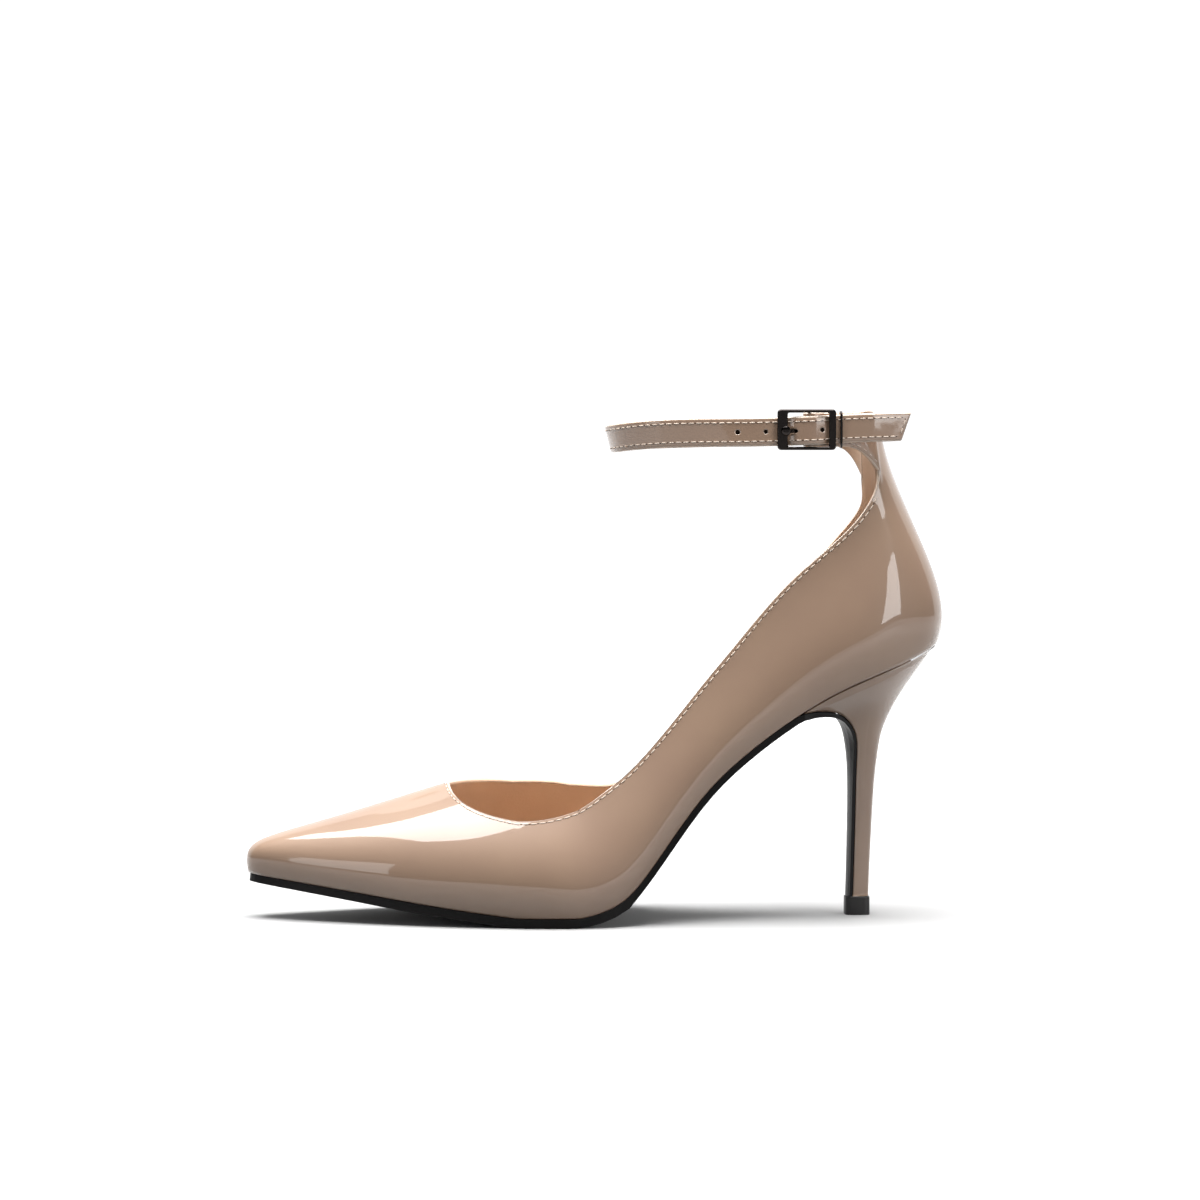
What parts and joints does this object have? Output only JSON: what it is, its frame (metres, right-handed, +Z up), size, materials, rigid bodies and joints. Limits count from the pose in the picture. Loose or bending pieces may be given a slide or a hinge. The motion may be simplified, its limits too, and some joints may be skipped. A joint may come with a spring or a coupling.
{
  "type": "ankle strap pump",
  "caption": "Left pointed-toe stiletto pump with a low-cut vamp, a back rising to an ankle strap, and a small rectangular buckle.",
  "frame": {"origin": "middle of the top lift's ground face", "axes": "+Z up, toe along -X, outer side of the foot at -Y"},
  "size_m": [0.2341, 0.0796, 0.1702],
  "materials": {
    "patent_leather": "glossy nude patent leather",
    "insole_leather": "soft tan lining leather",
    "sole_leather": "smooth black sole leather, satin",
    "lift_rubber": "matte black rubber",
    "buckle_metal": "dark gunmetal plating, glossy"
  },
  "bodies": {
    "root": {"upper": "patent_leather", "insole": "insole_leather", "outsole": "sole_leather", "heel": "patent_leather", "top_lift": "lift_rubber", "buckle_tab": "patent_leather", "ankle_strap": "patent_leather", "buckle_frame": "buckle_metal", "buckle_prong": "buckle_metal", "keeper": "buckle_metal"}
  },
  "joints": []
}
